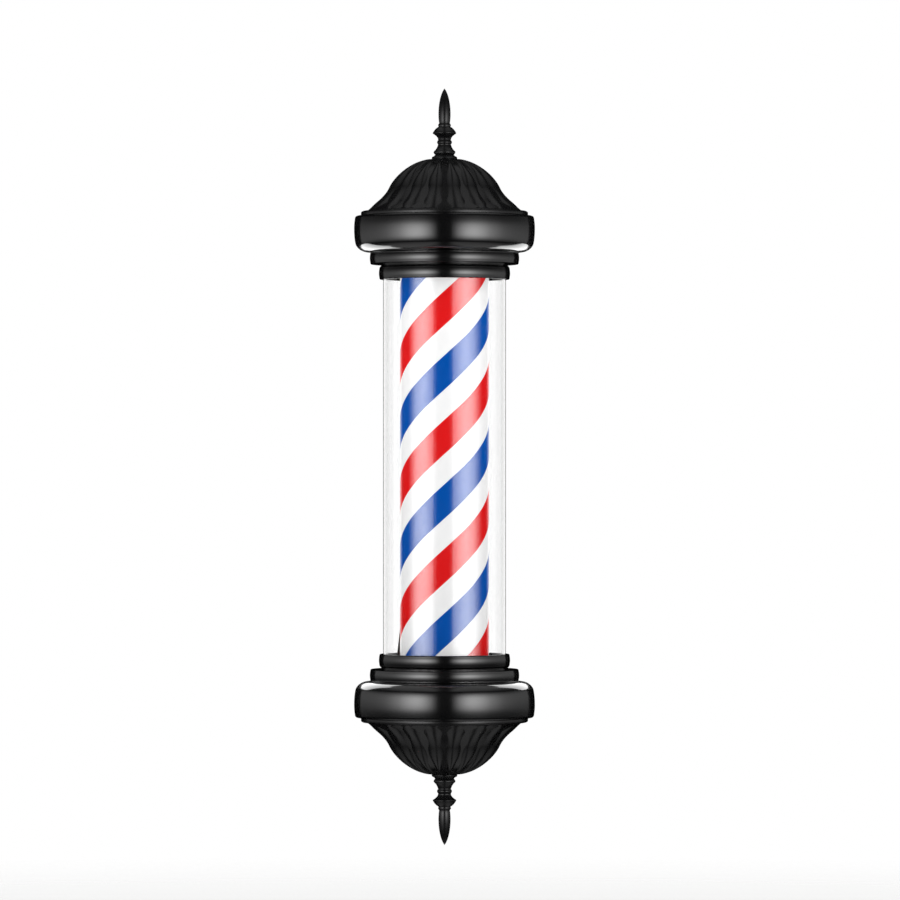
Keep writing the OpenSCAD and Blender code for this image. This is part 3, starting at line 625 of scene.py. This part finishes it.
class POLE_OT_cap_rings(bpy.types.Operator):
    """Builds the rim band, step ring and collar of both caps"""
    bl_idname = "pole.cap_rings"
    bl_label = "Cap rings"

    def execute(self, context):
        columns = context.scene.pole_sizes.columns
        # Every ring has a bore that the drum passes through. The step ring's hub is as wide as the
        # tube, and the collar grips the tube. Sharp edges are broken by a hair, and the rims' edges
        # have a fine round.
        bore, hub_r, grip_r = 54 * MM, TUBE_R + 0.1 * MM, TUBE_R + 0.25 * MM
        hair, fine, swell = 0.3 * MM, 1.2 * MM, 0.5 * MM
        # The pan is a sheet 2.5 mm thick with a wall of 3 mm and a flange that the dome sits on.
        skin, wall, flange, flange_r = 2.5 * MM, 3 * MM, 2 * MM, 80 * MM
        # The rim rolls under in a round of 13.2 mm, its face swells a little and its top edge is
        # turned in.
        roll_r = 13.2 * MM
        roll_centre = [BAND_R - roll_r - 0.3 * MM, BAND_LOW + roll_r]
        widest = LEDGE - 12.5 * MM
        shoulder = (BAND_R - 0.8 * MM, LEDGE - 2.6 * MM)
        a = np.radians(np.linspace(0, 60, 15))[:, None]
        roll = roll_centre + roll_r * np.concatenate([np.sin(a), -np.cos(a)], axis=1)
        face = np.concatenate([
            bezier(roll[-1], roll[-1] + [1.1 * MM, 1.9 * MM], (BAND_R, widest - 9 * MM),
                   (BAND_R, widest), 20),
            bezier((BAND_R, widest), (BAND_R, widest + 4 * MM),
                   (BAND_R - 0.4 * MM, LEDGE - 5.5 * MM), shoulder, 12)[1:],
            bezier(shoulder, (BAND_R - 1.05 * MM, LEDGE - 1.1 * MM),
                   (BAND_R - 1.8 * MM, LEDGE), (BAND_R - 3.2 * MM, LEDGE), 8)[1:]])
        curve = np.concatenate([roll, face[1:]])
        curve = np.column_stack([curve, np.zeros(len(curve))])
        band = [(bore, BAND_LOW, hair), *curve, (flange_r, LEDGE, hair),
                (flange_r, LEDGE - flange, hair), (BAND_R - wall, LEDGE - flange, hair),
                (BAND_R - wall, BAND_LOW + 5 * MM, 4 * MM), (bore, BAND_LOW + skin, hair)]

        def rim(radius, low, high):
            """The outer side of a rim between two levels. Its radius falls away from the middle
            as the square of the height, and both edges are rounded."""
            u = np.linspace(-1, 1, 11)
            height = (low + high) / 2 + u * ((high - low) / 2 - 1.5 * fine)
            side = np.column_stack([radius - swell * u ** 2, height, np.zeros(len(u))])
            return [(radius - 1.5 * swell, low, fine), *side, (radius - 1.5 * swell, high, fine)]

        # The step ring is hollow between its rim and its hub, above a floor of 3.3 mm.
        hollow_r, floor_z = 69.5 * MM, STEP_LOW + 3.3 * MM
        step = [(bore, STEP_LOW, hair), *rim(STEP_R, STEP_LOW, BAND_LOW),
                (hollow_r, BAND_LOW, hair), (hollow_r, floor_z, hair), (hub_r, floor_z, hair),
                (hub_r, BAND_LOW, hair), (bore, BAND_LOW, hair)]
        # The gasket on the tube's end stands against a shelf in the collar. The collar's hub fills
        # the gap below the step ring, and its side is a groove that closes inwards.
        shelf_z = COLLAR_TOP - 2 * MM
        waist_r, waist_z = TUBE_R + 1.8 * MM, (COLLAR_TOP + STEP_LOW) / 2
        collar = [(bore, shelf_z, hair), (grip_r, shelf_z, hair), (grip_r, COLLAR_LOW, hair),
                  *rim(COLLAR_R, COLLAR_LOW, COLLAR_TOP),
                  (waist_r + 1.5 * MM, COLLAR_TOP, 0.1 * MM), (waist_r, waist_z, 0.1 * MM),
                  (waist_r + 1.5 * MM, STEP_LOW, 0), (bore, STEP_LOW, hair)]
        for cap, side in CAPS.items():
            for ring, corners in (("band", band), ("step_ring", step), ("collar", collar)):
                piece = lathe(f"{ring}_{cap}", upright(rounded(corners), side), columns)
                place(piece, "gloss_black_enamel", "housing", f"{cap}_{ring}")
        return {"FINISHED"}


def spear_outline(top):
    """Outline of the finial from its bore up to its tip. The spear is a cubic curve that swells
    from a slim foot and closes in a point, and the spindle's beads, neck and mushroom rim follow
    the points of its turned outline."""
    spindle = np.array([
        (3.05, 317.2), (9.3, 317.2), (10.6, 318.6), (11.2, 320.0), (10.9, 320.9), (9.2, 322.5),
        (7.8, 324.6), (6.9, 326.8), (6.5, 328.2), (7.2, 328.8), (7.65, 330.2), (7.2, 331.6),
        (6.5, 332.3), (6.6, 333.6), (7.2, 335.0), (8.5, 336.6), (10.2, 338.0), (11.7, 338.9),
        (12.0, 339.3), (11.7, 340.2), (10.6, 342.0), (9.0, 343.9), (7.4, 345.2), (6.3, 345.9),
        (6.1, 346.4), (6.5, 347.1), (6.5, 348.0), (6.0, 348.8), (5.5, 349.4), (5.45, 350.0)]) * MM
    spear = bezier((5.6 * MM, 350.5 * MM), (7.1 * MM, 361 * MM), (5.6 * MM, 378 * MM), (0, top), 32)
    bore = np.array([(0, 336), (3.05, 334)]) * MM
    return np.concatenate([bore, spindle, spear])


class POLE_OT_finials(bpy.types.Operator):
    """Builds the spear finials and the cups they stand in"""
    bl_idname = "pole.finials"
    bl_label = "Finials"

    def execute(self, context):
        outline = spear_outline(TIP)
        cup = np.array([(0, 313.0), (12.4, 313.0), (12.9, 313.3), (13.0, 313.9), (12.8, 314.9),
                        (12.0, 315.6), (10.9, 316.0), (10.2, 316.6), (9.9, 317.2),
                        (0, 317.2)]) * MM
        for cap, side in CAPS.items():
            piece = lathe(f"finial_{cap}", upright(outline, side), 128)
            place(piece, "satin_black_powder_coat", "housing", f"{cap}_finial")
            piece = lathe(f"finial_cup_{cap}", upright(cup, side), 128)
            place(piece, "satin_black_powder_coat", "housing", f"{cap}_finial_cup")
        return {"FINISHED"}


class POLE_OT_tube(bpy.types.Operator):
    """Builds the clear tube with its sawn and flamed ends"""
    bl_idname = "pole.tube"
    bl_label = "Clear tube"

    def execute(self, context):
        inside = TUBE_R - 3 * MM
        # The flame has rounded the sawn edges by half a millimetre.
        flame = 0.5 * MM
        wall = [(inside, -TUBE_END, flame), (TUBE_R, -TUBE_END, flame),
                (TUBE_R, TUBE_END, flame), (inside, TUBE_END, flame)]
        piece = lathe("clear_tube_wall", rounded(wall), context.scene.pole_sizes.columns)
        place(piece, "clear_acrylic", "housing", "clear_tube")
        return {"FINISHED"}


class POLE_OT_film(bpy.types.Operator):
    """Builds the striped film round the drum, with a map in turns for its spiral print"""
    bl_idname = "pole.film"
    bl_label = "Stripe film"

    def execute(self, context):
        sizes = context.scene.pole_sizes
        columns, rows = sizes.columns, 60
        inside = FILM_R - 0.295 * MM
        heights = np.linspace(-DRUM_END, DRUM_END, rows)
        radii = np.concatenate([np.full(rows, FILM_R), np.full(rows, inside)])[:, None]
        heights = np.concatenate([heights, heights[::-1]])[:, None]
        turns = np.arange(columns) / columns
        points = around(radii, heights, turns[None, :])
        quads = grid_faces(2 * rows, columns, wrap_rows=True)
        # A corner's turns come from its own column, so the last face runs on to a whole turn.
        row, column = quads[:, 0] // columns, quads[:, 0] % columns
        right = np.array([0, 1, 1, 0])
        down = np.array([0, 0, 1, 1])
        u = (column[:, None] + right) / columns
        v = (heights[(row[:, None] + down) % (2 * rows), 0] - sizes.stripe_level)
        corner_uv = np.stack([u, v / sizes.stripe_lead], axis=-1)
        piece = new_mesh("striped_film", points, quads, corner_uv=corner_uv)
        place(piece, "printed_stripe_film", "drum", "stripe_film")
        return {"FINISHED"}


LEAD_ROUTE = [
    (0, 0, 186), (0, 0, 212), (0, 0, 234), (-2, 2, 243), (-8, 7, 250), (-19, 16, 254),
    (-30, 25, 250), (-36, 30, 243), (-38, 32, 234), (-38, 32, 222), (-38, 33, 190),
    (-38, 33, 100), (-38, 33, 0), (-38, 33, -90), (-40, 31, -130), (-45, 22, -170),
    (-48, 14, -200), (-48, 14, -216), (-48, 14, -220.3), (-47.9, 13.2, -224.8),
    (-47.6, 10.4, -227.9), (-47.2, 6, -228.5), (-47, 0, -228.5), (-47, -7.5, -228.5)]
LEAD_R = 1.6 * MM


def spline(points, steps):
    """A smooth curve through the points: each stretch is the cubic whose slope at a point is half
    the step between that point's neighbours."""
    p = np.concatenate([points[:1], points, points[-1:]])
    t = np.linspace(0, 1, steps, endpoint=False)[None, :, None]
    a, b, c, d = (p[k:len(p) - 3 + k, None, :] for k in range(4))
    curve = 0.5 * (2 * b + (c - a) * t + (2 * a - 5 * b + 4 * c - d) * t ** 2
                   + (3 * b - a - 3 * c + d) * t ** 3)
    return np.concatenate([curve.reshape(-1, 3), points[-1:]])


def swept(name, path, radius, sides=20):
    """A round section carried along a path. At each point the section's first axis is a fixed
    direction less its part along the path, and the second is square to both."""
    along = np.gradient(path, axis=0)
    along /= np.linalg.norm(along, axis=1)[:, None]
    fixed = np.array([0.6, 0.8, 0.0])
    first = fixed - along * (along @ fixed)[:, None]
    first /= np.linalg.norm(first, axis=1)[:, None]
    second = np.cross(along, first)
    a = 2 * math.pi * np.arange(sides) / sides
    rings = (path[:, None] + radius * (np.cos(a)[None, :, None] * first[:, None]
                                       + np.sin(a)[None, :, None] * second[:, None]))
    points = np.concatenate([rings.reshape(-1, 3), path[[0, -1]]])
    j = np.arange(sides)
    last = (len(path) - 1) * sides
    start = np.stack([np.full(sides, len(points) - 2), (j + 1) % sides, j], axis=-1)
    end = np.stack([np.full(sides, len(points) - 1), last + j, last + (j + 1) % sides], axis=-1)
    return new_mesh(name, points, grid_faces(len(path), sides), np.concatenate([start, end]))


class POLE_OT_lead(bpy.types.Operator):
    """Builds the lamp lead that runs behind the drum from cap to cap"""
    bl_idname = "pole.lead"
    bl_label = "Lamp lead"

    def execute(self, context):
        route = np.array(LEAD_ROUTE, float) * MM + [0, AXIS_Y, 0]
        piece = swept("lamp_lead_sheath", spline(route, 8), LEAD_R)
        place(piece, "black_lead_sheath", "housing", "lamp_lead")
        return {"FINISHED"}


# ---------------------------------------------------------------- stage

def studio_sheet(name, points, made):
    """A studio piece from a grid of points (row, column, xyz), with a map from 0 to 1 along its
    columns and its rows."""
    rows, columns = points.shape[:2]
    i, j = np.arange(rows - 1)[:, None], np.arange(columns - 1)[None, :]
    corner = i * columns + j
    quads = np.stack([corner, corner + 1, corner + columns + 1, corner + columns], axis=-1)
    mesh = bpy.data.meshes.new(name)
    mesh.from_pydata(points.reshape(-1, 3), [], quads.reshape(-1, 4).tolist())
    v, u = np.meshgrid(np.linspace(0, 1, rows), np.linspace(0, 1, columns), indexing="ij")
    uv = np.stack([u, v], axis=-1).reshape(-1, 2)[quads.ravel()]
    mesh.uv_layers.new(name="sheet").uv.foreach_set("vector", uv.astype(np.float32).ravel())
    mesh.materials.append(made)
    sheet = bpy.data.objects.new(name, mesh)
    bpy.context.scene.collection.objects.link(sheet)
    return sheet


def reflector(name, near, far, reach, half, made, seen_by=None, through_tube=False):
    """A sheet that only reflections show: those in the pieces of the collection seen_by, or in
    all of them. With through_tube, reflections that come through the tube show it too. It's bent
    round the pole's axis between two bearings, in degrees from the front towards the viewer's
    right: x is reach sin b, y is the axis less reach cos b, and z runs from -half to half."""
    b = np.radians(np.linspace(near, far, 49))[None, :, None]
    z = np.linspace(-half, half, 2)[:, None, None]
    points = np.concatenate(np.broadcast_arrays(reach * np.sin(b), AXIS_Y - reach * np.cos(b), z),
                            axis=-1)
    sheet = studio_sheet(name, points, made)
    sheet.visible_camera = False
    sheet.visible_diffuse = False
    sheet.visible_transmission = through_tube
    sheet.visible_shadow = False
    sheet.visible_volume_scatter = False
    sheet.light_linking.receiver_collection = seen_by


def receivers(name, pieces, state="INCLUDE"):
    """A collection of the pieces that a studio sheet lights, or, with the state EXCLUDE, of those
    that it leaves out."""
    group = bpy.data.collections.new(name)
    for piece in pieces:
        group.objects.link(bpy.data.objects[piece])
    for member in group.collection_objects:
        member.light_linking.link_state = state
    return group


def ramp(tree, value, stops):
    """A smooth grey ramp through the stops (position, level)."""
    node = add(tree, "ShaderNodeValToRGB", links={0: value})
    node.color_ramp.interpolation = "B_SPLINE"
    while len(node.color_ramp.elements) < len(stops):
        node.color_ramp.elements.new(0.5)
    for element, (at, level) in zip(node.color_ramp.elements, stops):
        element.position = at
        element.color = (level, level, level, 1)
    return node.outputs[0]


EVEN = ((0.0, 1.0), (1.0, 1.0))


def softbox_cloth(name, strength, across=EVEN, upward=EVEN):
    """Softbox cloth that fades sideways and upwards by two ramps. What stands behind it shows
    through, so that softboxes for other pieces may share its place, and it lights nothing by way
    of a matt surface."""
    made, tree = material(name)
    place_in = add(tree, "ShaderNodeUVMap", {"uv_map": "sheet"})
    parts = add(tree, "ShaderNodeSeparateXYZ", links={0: place_in.outputs[0]})
    level = add(tree, "ShaderNodeMath", {"operation": "MULTIPLY"},
                {0: ramp(tree, parts.outputs[0], across), 1: ramp(tree, parts.outputs[1], upward)})
    path = add(tree, "ShaderNodeLightPath")
    mirrored = add(tree, "ShaderNodeMath", {"operation": "LESS_THAN", 1: 0.5},
                   {0: path.outputs["Diffuse Depth"]})
    shown = add(tree, "ShaderNodeMath", {"operation": "MULTIPLY"},
                {0: level.outputs[0], 1: mirrored.outputs[0]})
    power = add(tree, "ShaderNodeMath", {"operation": "MULTIPLY", 1: strength},
                {0: shown.outputs[0]})
    glow = add(tree, "ShaderNodeEmission", links={"Strength": power.outputs[0]})
    clear = add(tree, "ShaderNodeBsdfTransparent")
    both = add(tree, "ShaderNodeAddShader", links={0: glow.outputs[0], 1: clear.outputs[0]})
    add(tree, "ShaderNodeOutputMaterial", links={"Surface": both.outputs[0]})
    return made


def black_card():
    """A card that gives back no light."""
    made, tree = material("black_card")
    shader = add(tree, "ShaderNodeEmission", {"Strength": 0.0})
    add(tree, "ShaderNodeOutputMaterial", links={"Surface": shader.outputs[0]})
    return made


def floor_paint():
    """Plain pale floor that fades into the white room between 1.4 and 3.2 metres from the
    pole."""
    made, tree = material("pale_floor")
    place_in = add(tree, "ShaderNodeTexCoord")
    reach = add(tree, "ShaderNodeVectorMath", {"operation": "LENGTH"},
                {0: place_in.outputs["Object"]})
    fade = add(tree, "ShaderNodeMapRange", {"From Min": 1.4, "From Max": 3.2},
               {"Value": reach.outputs["Value"]})
    paint = add(tree, "ShaderNodeBsdfPrincipled",
                {"Base Color": linear(bpy.context.scene.pole_colours.floor), "Roughness": 0.8})
    gone = add(tree, "ShaderNodeBsdfTransparent")
    both = add(tree, "ShaderNodeMixShader", links={
        0: fade.outputs[0], 1: paint.outputs[0], 2: gone.outputs[0]})
    add(tree, "ShaderNodeOutputMaterial", links={"Surface": both.outputs[0]})
    return made


def pale_floor(settings):
    """A square floor below the pole, which no reflection shows."""
    level = CAD_BOX[0].z - settings.floor_drop
    x, y = np.meshgrid([-3.4, 3.4], [-3.4, 3.4])
    floor = studio_sheet("floor", np.stack([x, y, np.full((2, 2), level)], axis=-1),
                         floor_paint())
    floor.visible_glossy = False


def reflections(settings):
    """The softboxes, cards and sheets that the gloss and the tube mirror."""
    # The caps see two softboxes with a long dim tail round to the side, and the tube a pair
    # with a narrower glow.
    caps = receivers("all_but_tube", ["clear_tube_wall"], "EXCLUDE")
    cloth = softbox_cloth("cap_softbox", settings.softbox, (
        (0.0, 0.0), (0.06, 0.3), (0.15, 0.92), (0.23, 1.0), (0.31, 0.8), (0.4, 0.45),
        (0.56, 0.15), (0.8, 0.08), (1.0, 0.04)), (
        (0.0, 0.0), (0.13, 0.03), (0.26, 0.18), (0.38, 0.7), (0.44, 1.0), (0.56, 1.0),
        (0.62, 0.75), (0.74, 0.22), (0.87, 0.04), (1.0, 0.0)))
    reflector("softbox_right", 9, 135, 2.6, 1.3, cloth, caps)
    reflector("softbox_left", -9, -135, 2.6, 1.3, cloth, caps)
    tube = receivers("tube_alone", ["clear_tube_wall"])
    cloth = softbox_cloth("tube_softbox", settings.tube_softbox, (
        (0.0, 0.0), (0.05, 0.3), (0.2, 0.5), (0.42, 0.85), (0.55, 1.0), (0.68, 0.9),
        (0.8, 0.4), (0.92, 0.06), (1.0, 0.0)))
    reflector("tube_softbox_right", 14, 76, 2.5, 0.9, cloth, tube, through_tube=True)
    reflector("tube_softbox_left", -20, -72, 2.5, 0.9, cloth, tube, through_tube=True)
    # The tube's outer face mirrors white beside it, and nothing at its very edge.
    surround = softbox_cloth("white_surround", settings.fill)
    reflector("tube_surround_right", 100, 160, 2.3, 0.9, surround, tube)
    reflector("tube_surround_left", -100, -160, 2.3, 0.9, surround, tube)
    card = black_card()
    reflector("card_behind_camera", -12, 12, 6.4, 7, card)
    reflector("card_behind_pole", 136, 224, 2.4, 3, card)
    # A low white sheet close behind the pole, which only the bands' rolled edges reflect.
    rolled = receivers("rolled_bands", [f"band_{cap}" for cap in CAPS])
    reflector("sheet_behind_roll", 112, 248, 0.3, 0.143,
              softbox_cloth("white_sheet", 2.6), rolled)


def white_room(settings):
    """A white world that looks another way where it's mirrored."""
    world = bpy.data.worlds.new("white_room")
    world.use_nodes = True
    tree = world.node_tree
    tree.nodes.clear()
    # What is reflected is black round the level of the pole, dim far above and below it on
    # both sides of a black strip, and white straight behind it for the tube's wall to bend.
    towards = add(tree, "ShaderNodeTexCoord")
    part = add(tree, "ShaderNodeSeparateXYZ", links={0: towards.outputs["Generated"]})
    aside = add(tree, "ShaderNodeMath", {"operation": "ABSOLUTE"}, {0: part.outputs[0]})
    steep = add(tree, "ShaderNodeMath", {"operation": "ABSOLUTE"}, {0: part.outputs[2]})
    behind = add(tree, "ShaderNodeMapRange", {"From Min": 0.75, "From Max": 0.9},
                 {"Value": part.outputs[1]})
    off_strip = add(tree, "ShaderNodeMapRange",
                    {"interpolation_type": "SMOOTHSTEP", "From Min": 0.02, "From Max": 0.2},
                    {"Value": aside.outputs[0]})
    overhead = add(tree, "ShaderNodeMapRange",
                   {"interpolation_type": "SMOOTHSTEP", "From Min": 0.5, "From Max": 1.0,
                    "To Min": 0.0, "To Max": settings.dim}, {"Value": steep.outputs[0]})
    level = add(tree, "ShaderNodeMath", {"operation": "MULTIPLY_ADD"},
                {0: overhead.outputs[0], 1: off_strip.outputs[0], 2: behind.outputs[0]})
    dim = add(tree, "ShaderNodeBackground", {"Color": (1, 1, 1, 1)},
              {"Strength": level.outputs[0]})
    # Behind the tube the room is brighter by what its four surfaces take away.
    path = add(tree, "ShaderNodeLightPath")
    room = add(tree, "ShaderNodeMapRange",
               {"To Min": settings.fill, "To Max": 1.2 * settings.fill},
               {"Value": path.outputs["Is Transmission Ray"]})
    white = add(tree, "ShaderNodeBackground", {"Color": (1, 1, 1, 1)},
                {"Strength": room.outputs[0]})
    mirrored = add(tree, "ShaderNodeMath", {"operation": "MINIMUM", 1: 1.0},
                   {0: path.outputs["Glossy Depth"]})
    both = add(tree, "ShaderNodeMixShader", links={
        0: mirrored.outputs[0], 1: white.outputs[0], 2: dim.outputs[0]})
    add(tree, "ShaderNodeOutputWorld", links={"Surface": both.outputs[0]})
    bpy.context.scene.world = world


def front_camera(settings):
    """A long lens straight in front of the pole."""
    scene = bpy.context.scene
    camera = bpy.data.cameras.new("camera")
    camera.sensor_width = 36
    camera.lens = 36 * settings.distance / settings.view_width
    # The pole stands a little left of the view's middle and a little below it.
    camera.shift_x, camera.shift_y = 0.0061, 0.0186
    eye = bpy.data.objects.new("camera", camera)
    scene.collection.objects.link(eye)
    eye.location = (0, AXIS_Y - settings.distance, 0)
    eye.rotation_euler = (math.radians(90), 0, 0)
    scene.camera = eye
    scene.view_settings.view_transform = "Standard"


class POLE_OT_stage(bpy.types.Operator):
    """Sets up the pale floor, the white room, the softboxes, the cards and the camera"""
    bl_idname = "pole.stage"
    bl_label = "Stage"

    def execute(self, context):
        for build in (pale_floor, reflections, white_room, front_camera):
            build(context.scene.stage_sizes)
        return {"FINISHED"}


class POLE_PT_panel(bpy.types.Panel):
    """The pole's settings and its build steps"""
    bl_label = "Barber Pole Light"
    bl_idname = "POLE_PT_panel"
    bl_space_type = "VIEW_3D"
    bl_region_type = "UI"
    bl_category = "Barber Pole"

    def draw(self, context):
        for group in (context.scene.pole_sizes, context.scene.pole_colours,
                      context.scene.stage_sizes):
            for name in group.__annotations__:
                self.layout.prop(group, name)
        for step in STEPS:
            self.layout.operator(step.bl_idname)


STEPS = (POLE_OT_finishes, POLE_OT_domes, POLE_OT_cap_rings, POLE_OT_finials, POLE_OT_tube,
         POLE_OT_film, POLE_OT_lead, POLE_OT_stage)
GROUPS = {"pole_sizes": PoleSizes, "pole_colours": PoleColours, "stage_sizes": StageSizes}


def register():
    for group in (*GROUPS.values(), *STEPS, POLE_PT_panel):
        bpy.utils.register_class(group)
    for name, group in GROUPS.items():
        setattr(bpy.types.Scene, name, bpy.props.PointerProperty(type=group))


def unregister():
    for name in GROUPS:
        delattr(bpy.types.Scene, name)
    for group in (POLE_PT_panel, *reversed(STEPS), *GROUPS.values()):
        bpy.utils.unregister_class(group)


def main():
    """Registers the add-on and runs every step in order."""
    register()
    for step in STEPS:
        family, action = step.bl_idname.split(".")
        if getattr(getattr(bpy.ops, family), action)() != {"FINISHED"}:
            raise RuntimeError(f"{step.bl_label} didn't finish")


if __name__ == "__main__":
    main()
